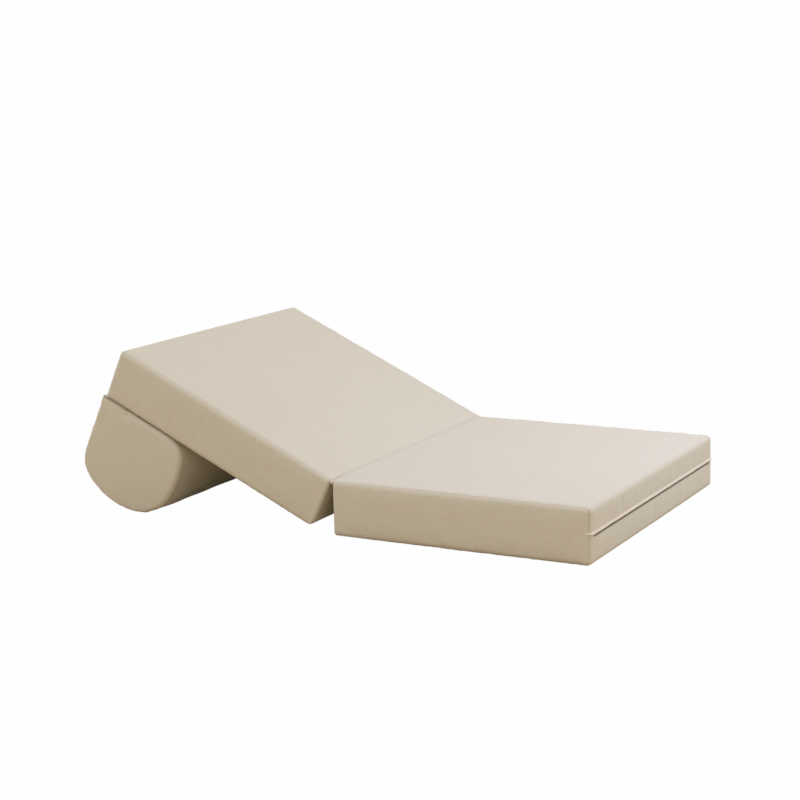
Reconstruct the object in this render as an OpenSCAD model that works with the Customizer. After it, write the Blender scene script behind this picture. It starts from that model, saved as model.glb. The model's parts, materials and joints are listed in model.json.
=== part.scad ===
// Fold-out futon mattress: two foam sections joined along a fabric crease, and a bolster
// hinged under the head end that props the back section up.
// Millimetres, +Z up, the seat reaches out along +X, the floor is z = 0.
// The origin is the middle of the object's footprint on the floor.
// At rest the seat lies flat and the back leans on the bolster. The recline angle isn't set:
// it follows from the lengths, because the bolster has to stand on the floor.

/* [Sections] */
// Length of each section, from the crease to its free end
section_l = 970; // [780:10:1200]
// Width of the mattress across both sections and the bolster
section_w = 1200; // [700:10:1600]
// Thickness of each section
section_t = 200; // [160:5:250]
// Radius of the long outer edges
edge_r = 22; // [14:1:30]
// Radius of the top edge at the crease, which is nearly square
crease_r = 5; // [4:1:12]

/* [Bolster] */
// Front to back length of the bolster's section
bolster_d = 406; // [330:2:480]
// Height of the bolster's section below its flat side
bolster_h = 348; // [300:2:430]
// Radius of the lower front corner, which stands on the floor, as a share of the height
bolster_roll = 0.48; // [0.35:0.01:0.49]
// Radius of the lower rear corner as a share of the height
bolster_heel = 0.33; // [0.15:0.01:0.4]
// Radius of the upper front corner as a share of the height
bolster_shoulder = 0.25; // [0.15:0.01:0.3]
// How far the bolster stands out behind the back section's head end
bolster_overhang = 11; // [4:1:14]
// How far the bolster is pressed flat where it stands on the floor
bolster_squash = 2; // [1:0.5:5]
// Gap between the bolster's flat side and the underside of the back section
bolster_gap = 5; // [4:0.5:8]
// Gap left between the two ends when the bolster is folded right out
bolster_fold_gap = 6; // [6:0.5:12]

/* [Layers] */
// Thickness of the cover fabric
cover_t = 2; // [1:0.5:3]
// Thickness of the fibre wadding under the cover
wadding_t = 10; // [8:1:14]

/* [Crease hinge] */
// Height of the fold line above the tops of both sections
crease_h = 3.5; // [3:0.5:8]
// Distance from the fold line to each section's end face
crease_gap = 3; // [2.6:0.2:6]
// Depth of the fabric leaves sewn to the two end faces
leaf_depth = 40; // [20:5:80]
// Length of the bolster's hinge leaves along the underside
leaf_l = 100; // [50:5:150]
// Thickness of a hinge leaf
leaf_t = 1; // [0.6:0.1:1.5]

/* [Zips] */
// Distance from each end of a zip to the section's side
zip_margin = 30; // [24:1:80]
// Width of the slot the zip lies in
zip_slot = 12; // [11:0.5:16]
// Distance of the bolster's zip from its flat side
bolster_zip_v = 145; // [130:5:190]
// Length of a zip's slider
slider_l = 9; // [7:0.5:12]
// Length of a slider's pull
pull_l = 22; // [14:1:26]

/* [Hidden] */
$fn = 96;
// Distance from the floor to the fold line
fold_z = section_t + crease_h;
// Length of one section's own body
body_l = section_l - crease_gap;
// Depth of the foam below the cover's outside
foam_inset = cover_t + wadding_t;
// Depth to which the panels are mitred along their shared edges
mitre = edge_r + 6;
// Length of a zip between its stops
zip_l = section_w - 2 * zip_margin;
// Length of one stop along the zip
stop_l = 3;
// Depth of the slot the slider runs in
slot_depth = 6.5;
// Half the height of the pocket the tapes lie in, behind the cover
pocket_half = 17;
// Depth of the same pocket into the wadding
pocket_depth = 0.7;
// Half the clear space between the two rows of teeth
row_gap = 0.7;
// Outer edge of each row of teeth, from the middle of the zip
row_edge = 2.6;
// Clearance all round the teeth inside the slider
slider_clear = 0.4;
// Depths of the front and rear of the rows of teeth below the face
row_front = -1.4;
row_rear = -3.3;
// Thickness of the slider's plates
plate_t = 0.8;
// Half the height of the slider
slider_half = 3.6;
// Inner edge of the slider's rims, which the tapes pass between
rim_in = 2.9;
// Radius of the bar that the pull turns on, and its height above the face
bar_r = 0.5;
bar_x = 1.5;
// Radius of the bead along each fold line
crease_bead_r = 1.6;
bolster_bead_r = 1.3;
// Radius of the bolster's nearly square upper rear edge
bolster_corner_r = 6;
// Longer than anything here, for cutting
far = 3000;

// The bolster's outline is a rectangle with rounded corners. U is measured forward from its
// rear side and V down from its flat side, and the corners are the upper rear, upper front,
// lower front and lower rear.
bolster_radii = [
    bolster_corner_r, bolster_shoulder * bolster_h, bolster_roll * bolster_h,
    bolster_heel * bolster_h
];
bolster_circles = [for (i = [0:3]) let(r = bolster_radii[i]) [
    i == 0 || i == 3 ? r : bolster_d - r, i < 2 ? r : bolster_h - r, r
]];

// Recline at which one of the circles just stands on the floor, pressed in by the squash.
// The head end of the underside is at height fold_z + section_l sin(a) - fold_z cos(a), and a
// circle reaches (U - overhang) sin(a) + (V + gap) cos(a) + radius below it.
function standing_angle(c) = let(
    along = section_l + bolster_overhang - c[0],
    down = fold_z + bolster_gap + c[1],
    rise = c[2] - bolster_squash - fold_z
) asin(rise / norm([along, down])) + atan2(down, along);

// Angle between the back section and the floor
recline = max([for (c = bolster_circles) standing_angle(c)]);
// Direction of the floor seen from the tilted bolster, in U and V
floor_dir = [sin(recline), cos(recline)];
// Distance of the bolster's furthest point in that direction, once pressed flat
floor_reach = max([for (c = bolster_circles) c[0] * floor_dir[0] + c[1] * floor_dir[1] + c[2]])
    - bolster_squash;

// Fold line of the bolster, along the back section and below its underside
bolster_axis_x = section_l + (bolster_overhang + bolster_fold_gap) / 2;
bolster_axis_z = -(bolster_gap - 0.5) / 2;

// Rearmost point of the object, on the bolster, and so the middle of the footprint
rear_u = min([for (c = bolster_circles)
    (c[0] - bolster_overhang) * cos(recline) - (c[1] + bolster_gap) * sin(recline) - c[2]]);
head_x = -section_l * cos(recline) - fold_z * sin(recline);
mid_x = (head_x + rear_u + section_l) / 2;

// Colours
fabric = [0.84, 0.80, 0.73];
foam = [0.93, 0.88, 0.66];
fibre = [0.95, 0.95, 0.93];
tape = [0.74, 0.69, 0.61];
teeth = [0.55, 0.50, 0.42];
metal = [0.60, 0.57, 0.52];

// ---- placing ----

// Moves a section's own frame into the object's. In it x runs from the crease face to the
// free end, z from the underside to the top.
module in_seat() {
    translate([crease_gap - mid_x, 0, 0]) children();
}

module in_back() {
    translate([-mid_x, 0, fold_z]) rotate([0, recline, 0]) mirror([1, 0, 0])
        translate([crease_gap, 0, -fold_z]) children();
}

// The bolster is drawn in the back section's frame: U runs back from its rear side.
module in_bolster() {
    in_back() translate([body_l + bolster_overhang, 0, -bolster_gap]) children();
}

// Draws a flat outline standing on the XZ plane, drawn out to width w along Y.
module along_y(w) {
    rotate([90, 0, 0]) linear_extrude(height = w, center = true) children();
}

// Draws a flat outline on the YZ plane, from x = 0 to x = l.
module along_x(l) {
    rotate([90, 0, 90]) linear_extrude(height = l) children();
}

// ---- sections ----

// Rectangle from [d, d] to [w - d, h - d] whose corners are rounded by the four radii, given
// from the lower left corner round to the right, each less by d.
module rounded_rect(w, h, radii, d) {
    r = [for (q = radii) max(q - d, 1)];
    x = w - d;
    y = h - d;
    polygon([
        [d + r[0], d], [x - r[1], d], [x, d + r[1]], [x, y - r[2]],
        [x - r[2], y], [d + r[3], y], [d, y - r[3]], [d, d + r[0]]
    ]);
    translate([d + r[0], d + r[0]]) circle(r = r[0]);
    translate([x - r[1], d + r[1]]) circle(r = r[1]);
    translate([x - r[2], y - r[2]]) circle(r = r[2]);
    translate([d + r[3], y - r[3]]) circle(r = r[3]);
}

// A section's outside moved inward by d
module section_body(d) {
    intersection() {
        along_y(section_w - 2 * d)
            rounded_rect(body_l, section_t, [edge_r, edge_r, edge_r, crease_r], d);
        along_x(body_l) translate([-section_w / 2, 0])
            rounded_rect(section_w, section_t, [edge_r, edge_r, edge_r, edge_r], d);
    }
}

// The cover of one section as a shell, before it's parted at its seams
module section_shell() {
    difference() {
        section_body(0);
        section_body(cover_t);
    }
}

// Trapezium as wide as w at the edge and mitred at 45 degrees as it goes in
module mitred(w) {
    polygon([[0, 0], [w, 0], [w - mitre, mitre], [mitre, mitre]]);
}

// Regions that part the shell along its mitred edges
module top_region() {
    intersection() {
        along_y(section_w) translate([0, section_t]) mirror([0, 1]) mitred(body_l);
        along_x(body_l) translate([-section_w / 2, section_t]) mirror([0, 1])
            mitred(section_w);
    }
}

module bottom_region() {
    intersection() {
        along_y(section_w) mitred(body_l);
        along_x(body_l) translate([-section_w / 2, 0]) mitred(section_w);
    }
}

module near_region() {
    intersection() {
        linear_extrude(height = section_t) translate([0, -section_w / 2]) mitred(body_l);
        along_x(body_l) translate([-section_w / 2, section_t]) rotate(-90)
            mitred(section_t);
    }
}

module hinge_region() {
    intersection() {
        along_y(section_w) translate([0, section_t]) rotate(-90) mitred(section_t);
        linear_extrude(height = section_t) translate([0, section_w / 2]) rotate(-90)
            mitred(section_w);
    }
}

module end_region() {
    translate([body_l, 0, 0]) mirror([1, 0, 0]) hinge_region();
}

module foam_block() {
    translate([foam_inset, -section_w / 2 + foam_inset, foam_inset])
        cube([body_l - 2 * foam_inset, section_w - 2 * foam_inset,
            section_t - 2 * foam_inset]);
}

module section_wadding() {
    difference() {
        section_body(cover_t);
        foam_block();
        at_section_zip() zip_hollow();
    }
}

module cover_top() {
    intersection() {
        section_shell();
        top_region();
    }
}

module cover_bottom() {
    intersection() {
        section_shell();
        bottom_region();
    }
}

module cover_near_side() {
    intersection() {
        section_shell();
        near_region();
    }
}

module cover_hinge_end() {
    intersection() {
        section_shell();
        hinge_region();
    }
}

// Half of the free end's cover, above (side = 1) or below (side = 0) the zip
module cover_end(side) {
    difference() {
        intersection() {
            section_shell();
            end_region();
            translate([0, -section_w / 2, side * section_t / 2])
                cube([body_l, section_w, section_t / 2]);
        }
        at_section_zip() zip_mouth();
    }
}

// ---- zips, drawn with x out of the face, y along the zip and z across it ----

module at_section_zip() {
    translate([body_l, 0, section_t / 2]) children();
}

module at_bolster_zip() {
    translate([0, 0, -bolster_zip_v]) children();
}

// The slot cut through the cover
module zip_mouth() {
    translate([-cover_t, -zip_l / 2, -zip_slot / 2])
        cube([cover_t + 1, zip_l, zip_slot]);
}

// The room the zip takes up in the wadding
module zip_hollow() {
    translate([-slot_depth, -zip_l / 2, -zip_slot / 2])
        cube([slot_depth, zip_l, zip_slot]);
    translate([-cover_t - pocket_depth, -zip_l / 2, -pocket_half])
        cube([pocket_depth, zip_l, 2 * pocket_half]);
}

// Folded lip of the cover that shades the zip
module zip_flap() {
    along_y(zip_l) {
        translate([1.5, 5]) circle(r = 1.5);
        polygon([[0, 3.5], [1.5, 3.5], [3, 5], [0.8, 14], [0, 14]]);
    }
}

// One tape, above (side = 1) or below (side = -1) the teeth
module zip_tape(side) {
    translate([-cover_t - pocket_depth, -zip_l / 2, side > 0 ? row_edge : -pocket_half + 0.5])
        cube([pocket_depth, zip_l, pocket_half - 0.5 - row_edge]);
}

module zip_teeth() {
    for (z = [-row_edge, row_gap])
        translate([row_rear, -zip_l / 2 + stop_l, z])
            cube([row_front - row_rear, zip_l - 2 * stop_l, row_edge - row_gap]);
}

// A stop closes each end of the zip, standing clear of the tapes beside it
module zip_stops() {
    for (y = [-zip_l / 2, zip_l / 2 - stop_l])
        translate([row_rear, y, -row_edge])
            cube([row_front - row_rear + 0.5, stop_l, 2 * row_edge]);
}

// The slider closes round the teeth: two plates, rims that let the tapes through and a thin
// web between the rows. It's drawn at the closed end of the zip.
slider_y = zip_l / 2 - stop_l - slider_l / 2 - 0.5;

module zip_slider() {
    front = row_front + slider_clear;
    rear = row_rear - slider_clear;
    translate([0, slider_y, 0]) {
        translate([front, -slider_l / 2, -slider_half])
            cube([plate_t, slider_l, 2 * slider_half]);
        translate([rear - plate_t, -slider_l / 2, -slider_half])
            cube([plate_t, slider_l, 2 * slider_half]);
        for (z = [-slider_half, rim_in]) {
            translate([front - 0.7, -slider_l / 2, z])
                cube([0.7, slider_l, slider_half - rim_in]);
            translate([rear, -slider_l / 2, z])
                cube([0.7, slider_l, slider_half - rim_in]);
        }
        translate([rear, 1, -0.35]) cube([front - rear, slider_l / 2 - 1.1, 0.7]);
        for (z = [-2.6, 1.9])
            translate([front + plate_t, -0.8, z])
                cube([bar_x - front - plate_t + 0.6, 1.6, 0.7]);
        translate([bar_x, 0, -2.6]) cylinder(r = bar_r, h = 5.2);
    }
}

// The pull's eye turns on the slider's bar, and its tab lies back along the teeth
module zip_pull() {
    translate([bar_x, slider_y, 0]) {
        difference() {
            union() {
                translate([0, 0, -1.5]) cylinder(r = 1.3, h = 3);
                translate([-0.5, -pull_l, -1.5]) cube([1, pull_l, 3]);
                translate([-0.5, -pull_l, -2.5]) cube([1, pull_l - 4, 5]);
            }
            translate([0, 0, -2]) cylinder(r = bar_r + 0.3, h = 4);
            translate([-1, -pull_l + 3, 0]) rotate([0, 90, 0]) cylinder(r = 1.2, h = 2);
        }
    }
}

// ---- bolster, drawn with x = -U and z = -V ----

// The bolster's outline moved inward by d, pressed flat where it stands on the floor
module bolster_outline(d) {
    rotate(180) difference() {
        rounded_rect(bolster_d, bolster_h, bolster_radii, d);
        rotate(90 - recline) translate([floor_reach - d, -far / 2]) square(far);
    }
}

// The bolster's outside moved inward by d
module bolster_body(d) {
    along_y(section_w - 2 * d) bolster_outline(d);
}

// Its cover as a shell, open at both ends
module bolster_sleeve() {
    along_y(section_w - 2 * cover_t) difference() {
        bolster_outline(0);
        bolster_outline(cover_t);
    }
}

// Where the flat side and the rear side are sewn to the roll
flat_end = 0.72 * bolster_d;
rear_end = 0.62 * bolster_h;

module bolster_flat_region() {
    along_y(section_w) polygon([[1, 1], [-flat_end, 1], [-flat_end, -30], [-30, -30]]);
}

module bolster_rear_region() {
    along_y(section_w) polygon([[1, 1], [-30, -30], [-30, -rear_end], [1, -rear_end]]);
}

module bolster_cover_flat() {
    intersection() {
        bolster_sleeve();
        bolster_flat_region();
    }
}

module bolster_cover_roll() {
    difference() {
        bolster_sleeve();
        bolster_flat_region();
        bolster_rear_region();
    }
}

// Half of the rear side's cover, above (side = 1) or below (side = 0) the zip
module bolster_cover_rear(side) {
    difference() {
        intersection() {
            bolster_sleeve();
            bolster_rear_region();
            translate([-far, -section_w / 2, -bolster_zip_v - (1 - side) * far])
                cube([far, section_w, far]);
        }
        at_bolster_zip() zip_mouth();
    }
}

module bolster_end() {
    translate([0, -section_w / 2 + cover_t, 0]) rotate([90, 0, 0])
        linear_extrude(height = cover_t) bolster_outline(0);
}

module bolster_wadding() {
    difference() {
        bolster_body(cover_t);
        bolster_body(foam_inset);
        at_bolster_zip() zip_hollow();
    }
}

// ---- hinges, drawn in a section's frame with its fold line at x = -crease_gap ----

leaf_w = section_w - 2 * edge_r - 10;

// The seat's leaf rises to the fold line and holds the bead
module crease_leaf_seat() {
    along_y(leaf_w) difference() {
        union() {
            translate([-leaf_t, section_t - leaf_depth])
                square([leaf_t, leaf_depth + crease_h + 0.5]);
            translate([-crease_gap, fold_z - 0.5]) square([crease_gap, 1]);
        }
        translate([-crease_gap, fold_z]) circle(r = crease_bead_r);
    }
}

module crease_leaf_back() {
    along_y(leaf_w) translate([-leaf_t, section_t - leaf_depth])
        square([leaf_t, leaf_depth - crease_r]);
}

module crease_seam_bead() {
    translate([-crease_gap, leaf_w / 2, fold_z]) rotate([90, 0, 0])
        cylinder(r = crease_bead_r, h = leaf_w);
}

// The back section's leaf runs past its head end to the bead below the fold line
module bolster_leaf_back() {
    edge = bolster_axis_x - crease_gap;
    along_y(leaf_w) difference() {
        union() {
            translate([body_l - leaf_l, -leaf_t])
                square([edge + 0.4 - body_l + leaf_l, leaf_t]);
            translate([edge - 0.4, bolster_axis_z]) square([0.8, -bolster_axis_z]);
        }
        translate([edge, bolster_axis_z]) circle(r = bolster_bead_r);
    }
}

module bolster_leaf_bolster() {
    along_y(leaf_w) translate([body_l - leaf_l, -bolster_gap])
        square([leaf_l + bolster_overhang - bolster_corner_r, leaf_t]);
}

module bolster_seam_bead() {
    translate([bolster_axis_x - crease_gap, leaf_w / 2, bolster_axis_z])
        rotate([90, 0, 0]) cylinder(r = bolster_bead_r, h = leaf_w);
}

// ---- nodes ----

module seat_foam_core() { color(foam) in_seat() foam_block(); }
module seat_wadding() { color(fibre) in_seat() section_wadding(); }
module seat_cover_top() { color(fabric) in_seat() cover_top(); }
module seat_cover_bottom() { color(fabric) in_seat() cover_bottom(); }
module seat_cover_near_side() { color(fabric) in_seat() cover_near_side(); }
module seat_cover_far_side() { color(fabric) in_seat() mirror([0, 1, 0]) cover_near_side(); }
module seat_cover_hinge_end() { color(fabric) in_seat() cover_hinge_end(); }
module seat_cover_end_upper() { color(fabric) in_seat() cover_end(1); }
module seat_cover_end_lower() { color(fabric) in_seat() cover_end(0); }
module seat_zip_flap() { color(fabric) in_seat() at_section_zip() zip_flap(); }
module seat_zip_tape_upper() { color(tape) in_seat() at_section_zip() zip_tape(1); }
module seat_zip_tape_lower() { color(tape) in_seat() at_section_zip() zip_tape(-1); }
module seat_zip_teeth() { color(teeth) in_seat() at_section_zip() zip_teeth(); }
module seat_zip_stops() { color(metal) in_seat() at_section_zip() zip_stops(); }
module seat_zip_slider() { color(metal) in_seat() at_section_zip() zip_slider(); }
module seat_zip_pull() { color(metal) in_seat() at_section_zip() zip_pull(); }

module back_foam_core() { color(foam) in_back() foam_block(); }
module back_wadding() { color(fibre) in_back() section_wadding(); }
module back_cover_top() { color(fabric) in_back() cover_top(); }
module back_cover_bottom() { color(fabric) in_back() cover_bottom(); }
module back_cover_near_side() { color(fabric) in_back() cover_near_side(); }
module back_cover_far_side() { color(fabric) in_back() mirror([0, 1, 0]) cover_near_side(); }
module back_cover_hinge_end() { color(fabric) in_back() cover_hinge_end(); }
module back_cover_end_upper() { color(fabric) in_back() cover_end(1); }
module back_cover_end_lower() { color(fabric) in_back() cover_end(0); }
module back_zip_flap() { color(fabric) in_back() at_section_zip() zip_flap(); }
module back_zip_tape_upper() { color(tape) in_back() at_section_zip() zip_tape(1); }
module back_zip_tape_lower() { color(tape) in_back() at_section_zip() zip_tape(-1); }
module back_zip_teeth() { color(teeth) in_back() at_section_zip() zip_teeth(); }
module back_zip_stops() { color(metal) in_back() at_section_zip() zip_stops(); }
module back_zip_slider() { color(metal) in_back() at_section_zip() zip_slider(); }
module back_zip_pull() { color(metal) in_back() at_section_zip() zip_pull(); }

module bolster_foam() { color(foam) in_bolster() bolster_body(foam_inset); }
module bolster_fill() { color(fibre) in_bolster() bolster_wadding(); }
module bolster_roll() { color(fabric) in_bolster() bolster_cover_roll(); }
module bolster_flat() { color(fabric) in_bolster() bolster_cover_flat(); }
module bolster_rear_upper() { color(fabric) in_bolster() bolster_cover_rear(1); }
module bolster_rear_lower() { color(fabric) in_bolster() bolster_cover_rear(0); }
module bolster_near_end() { color(fabric) in_bolster() bolster_end(); }
module bolster_far_end() { color(fabric) in_bolster() mirror([0, 1, 0]) bolster_end(); }
module bolster_zip_flap() { color(fabric) in_bolster() at_bolster_zip() zip_flap(); }
module bolster_zip_tape_upper() { color(tape) in_bolster() at_bolster_zip() zip_tape(1); }
module bolster_zip_tape_lower() { color(tape) in_bolster() at_bolster_zip() zip_tape(-1); }
module bolster_zip_teeth() { color(teeth) in_bolster() at_bolster_zip() zip_teeth(); }
module bolster_zip_stops() { color(metal) in_bolster() at_bolster_zip() zip_stops(); }
module bolster_zip_slider() { color(metal) in_bolster() at_bolster_zip() zip_slider(); }
module bolster_zip_pull() { color(metal) in_bolster() at_bolster_zip() zip_pull(); }

module seam_leaf_seat() { color(fabric) in_seat() crease_leaf_seat(); }
module seam_leaf_back() { color(fabric) in_back() crease_leaf_back(); }
module seam_bead() { color(fabric) in_seat() crease_seam_bead(); }
module strap_leaf_back() { color(fabric) in_back() bolster_leaf_back(); }
module strap_leaf_bolster() { color(fabric) in_back() bolster_leaf_bolster(); }
module strap_bead() { color(fabric) in_back() bolster_seam_bead(); }

seat_foam_core();
seat_wadding();
seat_cover_top();
seat_cover_bottom();
seat_cover_near_side();
seat_cover_far_side();
seat_cover_hinge_end();
seat_cover_end_upper();
seat_cover_end_lower();
seat_zip_flap();
seat_zip_tape_upper();
seat_zip_tape_lower();
seat_zip_teeth();
seat_zip_stops();
seat_zip_slider();
seat_zip_pull();
back_foam_core();
back_wadding();
back_cover_top();
back_cover_bottom();
back_cover_near_side();
back_cover_far_side();
back_cover_hinge_end();
back_cover_end_upper();
back_cover_end_lower();
back_zip_flap();
back_zip_tape_upper();
back_zip_tape_lower();
back_zip_teeth();
back_zip_stops();
back_zip_slider();
back_zip_pull();
bolster_foam();  // bolster_foam_core
bolster_fill();  // bolster_wadding
bolster_roll();  // bolster_cover_roll
bolster_flat();  // bolster_cover_flat
bolster_rear_upper();  // bolster_cover_rear_upper
bolster_rear_lower();  // bolster_cover_rear_lower
bolster_near_end();  // bolster_cover_near_end
bolster_far_end();  // bolster_cover_far_end
bolster_zip_flap();
bolster_zip_tape_upper();
bolster_zip_tape_lower();
bolster_zip_teeth();
bolster_zip_stops();
bolster_zip_slider();
bolster_zip_pull();
seam_leaf_seat();  // crease_leaf_seat
seam_leaf_back();  // crease_leaf_back
seam_bead();  // crease_seam_bead
strap_leaf_back();  // bolster_leaf_back
strap_leaf_bolster();  // bolster_leaf_bolster
strap_bead();  // bolster_seam_bead
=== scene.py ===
"""Looks for a fold-out futon mattress: two covered foam sections, a bolster, their fabric
hinges and zips. Metres, +Z up. Every piece is built at rest, in the part's own frame."""

import json
import math

import bpy
import numpy as np
from mathutils import Matrix, Vector


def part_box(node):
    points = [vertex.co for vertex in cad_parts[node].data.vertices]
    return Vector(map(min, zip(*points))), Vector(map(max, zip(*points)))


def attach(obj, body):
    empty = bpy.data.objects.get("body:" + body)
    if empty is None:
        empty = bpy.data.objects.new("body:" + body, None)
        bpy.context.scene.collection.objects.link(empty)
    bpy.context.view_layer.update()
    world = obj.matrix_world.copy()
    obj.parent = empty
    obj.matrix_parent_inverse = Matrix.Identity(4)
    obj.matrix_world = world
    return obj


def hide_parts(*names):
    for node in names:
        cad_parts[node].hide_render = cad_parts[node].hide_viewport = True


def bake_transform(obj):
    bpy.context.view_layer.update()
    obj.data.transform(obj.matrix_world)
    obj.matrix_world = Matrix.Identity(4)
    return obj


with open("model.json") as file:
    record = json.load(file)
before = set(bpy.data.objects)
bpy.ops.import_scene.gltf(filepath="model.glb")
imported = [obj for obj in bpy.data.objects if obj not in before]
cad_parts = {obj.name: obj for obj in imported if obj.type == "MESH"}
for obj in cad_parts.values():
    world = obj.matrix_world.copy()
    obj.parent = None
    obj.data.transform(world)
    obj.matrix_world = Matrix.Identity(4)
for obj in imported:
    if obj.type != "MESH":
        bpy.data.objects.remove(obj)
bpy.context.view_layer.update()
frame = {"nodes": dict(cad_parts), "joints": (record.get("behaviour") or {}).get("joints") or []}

# ---- where the part is ----

joints = {j["name"]: j for j in frame["joints"]}
fold = np.array(joints["back_fold"]["pos_m"], float)
swing = joints["back_pull_swing"]["axis"]
recline = math.atan2(-swing[0], -swing[2])
seat_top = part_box("seat_cover_top")[1]
near_lo, near_hi = (np.array(c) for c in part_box("seat_cover_near_side"))
crease_gap = near_lo[0] - fold[0]
BODY_L = near_hi[0] - near_lo[0]
THICK = seat_top[2]
FOLD_Z = fold[2]
WIDTH = -2 * near_lo[1]
ZIP_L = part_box("seat_zip_flap")[1][1] * 2
EDGE_R = 0.020                              # radius of the covers' edges
CREASE_R = 0.005                            # radius of the top edges at the crease
HINGE_R = {"seat": 0.010, "back": 0.030}    # radius of the lower edges at the hinge


def seat_place(p):
    """Section point (x from the crease face, y, z from the underside) to the row frame."""
    return p + np.array([fold[0] + crease_gap, 0, 0])


def back_place(p):
    """The same for the back section: mirrored in x, then turned up by the recline."""
    x, y, z = -(p[..., 0] + crease_gap), p[..., 1], p[..., 2] - FOLD_Z
    c, s = math.cos(recline), math.sin(recline)
    return np.stack([fold[0] + x * c + z * s, y, FOLD_Z - x * s + z * c], -1)


SECTIONS = {"seat": (seat_place, False), "back": (back_place, True)}


# ---- numbers that look like cloth ----

def ripple(a, b, seed, waves, turn=None, spread=math.pi):
    """Sum of plane cosine waves over (a, b) with seeded directions and phases, unit height.
    waves lists wavelengths; with turn, the directions keep within spread of that angle."""
    rng = np.random.default_rng(seed)
    angle = (0 if turn is None else turn) + rng.uniform(-spread, spread, len(waves))
    phase = rng.uniform(0, 2 * math.pi, len(waves))
    k = 2 * math.pi / np.array(waves)
    total = np.zeros(np.broadcast(a, b).shape)
    for ka, kb, f in zip(k * np.cos(angle), k * np.sin(angle), phase):
        total += np.cos(ka * a + kb * b + f)
    return total / math.sqrt(len(waves))


def near_line(d, width):
    """Bell curve of the distance d, one at the line and near none past twice the width."""
    return np.exp(-(d / width) ** 2)


def fade(d, width):
    """Nothing at the line d = 0, and near one past three times the width."""
    return 1 - np.exp(-np.maximum(d, 0) / width)


def spaced(lo, hi, step, edge, fine):
    """Grid stops from lo to hi: fine steps within edge of both ends, step between them."""
    n = max(2, round((hi - lo - 2 * edge) / step))
    m = max(1, round(edge / fine))
    return np.concatenate([
        np.linspace(lo, lo + edge, m, endpoint=False),
        np.linspace(lo + edge, hi - edge, n, endpoint=False),
        np.linspace(hi - edge, hi, m + 1)])


# ---- meshes ----

def quads(ids):
    """Four-cornered faces over a grid of vertex numbers, turned towards rows x columns."""
    return np.stack([ids[:-1, :-1], ids[1:, :-1], ids[1:, 1:], ids[:-1, 1:]], -1).reshape(-1, 4)


def box_skin(xs, ys, zs):
    """The six sides of a box as one closed grid. Stops along each axis give the lines.
    Returns points, faces, and which side each face is on: 0-1 x, 2-3 y, 4-5 z."""
    nx, ny, nz = len(xs), len(ys), len(zs)
    key = np.arange(nx * ny * nz).reshape(nx, ny, nz)
    sides = [quads(key[0].T), quads(key[-1]), quads(key[:, 0]), quads(key[:, -1].T),
             quads(key[:, :, 0].T), quads(key[:, :, -1])]
    side = np.concatenate([np.full(len(q), i) for i, q in enumerate(sides)])
    used, faces = np.unique(np.concatenate(sides), return_inverse=True)
    i, j, k = np.unravel_index(used, key.shape)
    return np.stack([xs[i], ys[j], zs[k]], -1), faces.reshape(-1, 4), side


def swept(rings, closed=True):
    """Closed loops of points (rings, around, 3) joined into a tube, each end closed by a
    fan round its middle point. Returns points and a list of face arrays."""
    n, k, _ = rings.shape
    ids = np.arange(n * k).reshape(n, k)
    ids = np.concatenate([ids, ids[:, :1]], 1)
    points, faces = rings.reshape(-1, 3), [quads(ids)]
    if closed:
        points = np.concatenate([points, rings[0].mean(0)[None], rings[-1].mean(0)[None]])
        a, b = np.full(k, n * k), np.full(k, n * k + 1)
        faces += [np.stack([a, ids[0, :-1], ids[0, 1:]], -1),
                  np.stack([b, ids[-1, 1:], ids[-1, :-1]], -1)]
    return points, faces


def outward(points, faces):
    """The faces turned round if the solid they close has a negative volume."""
    total = 0.0
    for f in faces:
        for i in range(1, f.shape[1] - 1):
            a, b, c = points[f[:, 0]], points[f[:, i]], points[f[:, i + 1]]
            total += np.einsum("ij,ij->", a, np.cross(b, c))
    return [f[:, ::-1] for f in faces] if total < 0 else faces


def make(name, points, faces, material, uv=None, smooth=True):
    """A mesh object from whole arrays: points, a list of face arrays, and uv per point or
    per corner, in metres of cloth."""
    mesh = bpy.data.meshes.new(name)
    faces = [np.asarray(f) for f in faces]
    loops = np.concatenate([f.ravel() for f in faces]).astype(np.int32)
    sizes = np.concatenate([np.full(len(f), f.shape[1]) for f in faces])
    starts = np.concatenate([[0], np.cumsum(sizes)[:-1]]).astype(np.int32)
    mesh.vertices.add(len(points))
    mesh.vertices.foreach_set("co", np.ascontiguousarray(points, np.float32).ravel())
    mesh.loops.add(len(loops))
    mesh.loops.foreach_set("vertex_index", loops)
    mesh.polygons.add(len(sizes))
    mesh.polygons.foreach_set("loop_start", starts)
    mesh.polygons.foreach_set("loop_total", sizes.astype(np.int32))
    mesh.update(calc_edges=True)
    mesh.validate()
    mesh.polygons.foreach_set("use_smooth", np.full(len(mesh.polygons), smooth))
    if uv is not None:
        layer = mesh.uv_layers.new(name="cloth")
        corner = uv[loops] if len(uv) == len(points) else uv
        layer.data.foreach_set("uv", np.ascontiguousarray(corner, np.float32).ravel())
    mesh.materials.append(material)
    piece = bpy.data.objects.new(name, mesh)
    bpy.context.scene.collection.objects.link(piece)
    return piece


# ---- cloth at rest on its foam ----

FRAMES = 12                             # steps the cloth is given to settle
SLACK = 0.010                           # share by which the panels are cut larger
PUSH = 0.6                              # pressure from inside
CAP = 0.0045                            # longest move
EASE = {"seat": 0.50, "back": 0.34}     # share of the move each cover takes up
LEVELS = 20                             # steps in which a group's strength is set


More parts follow.
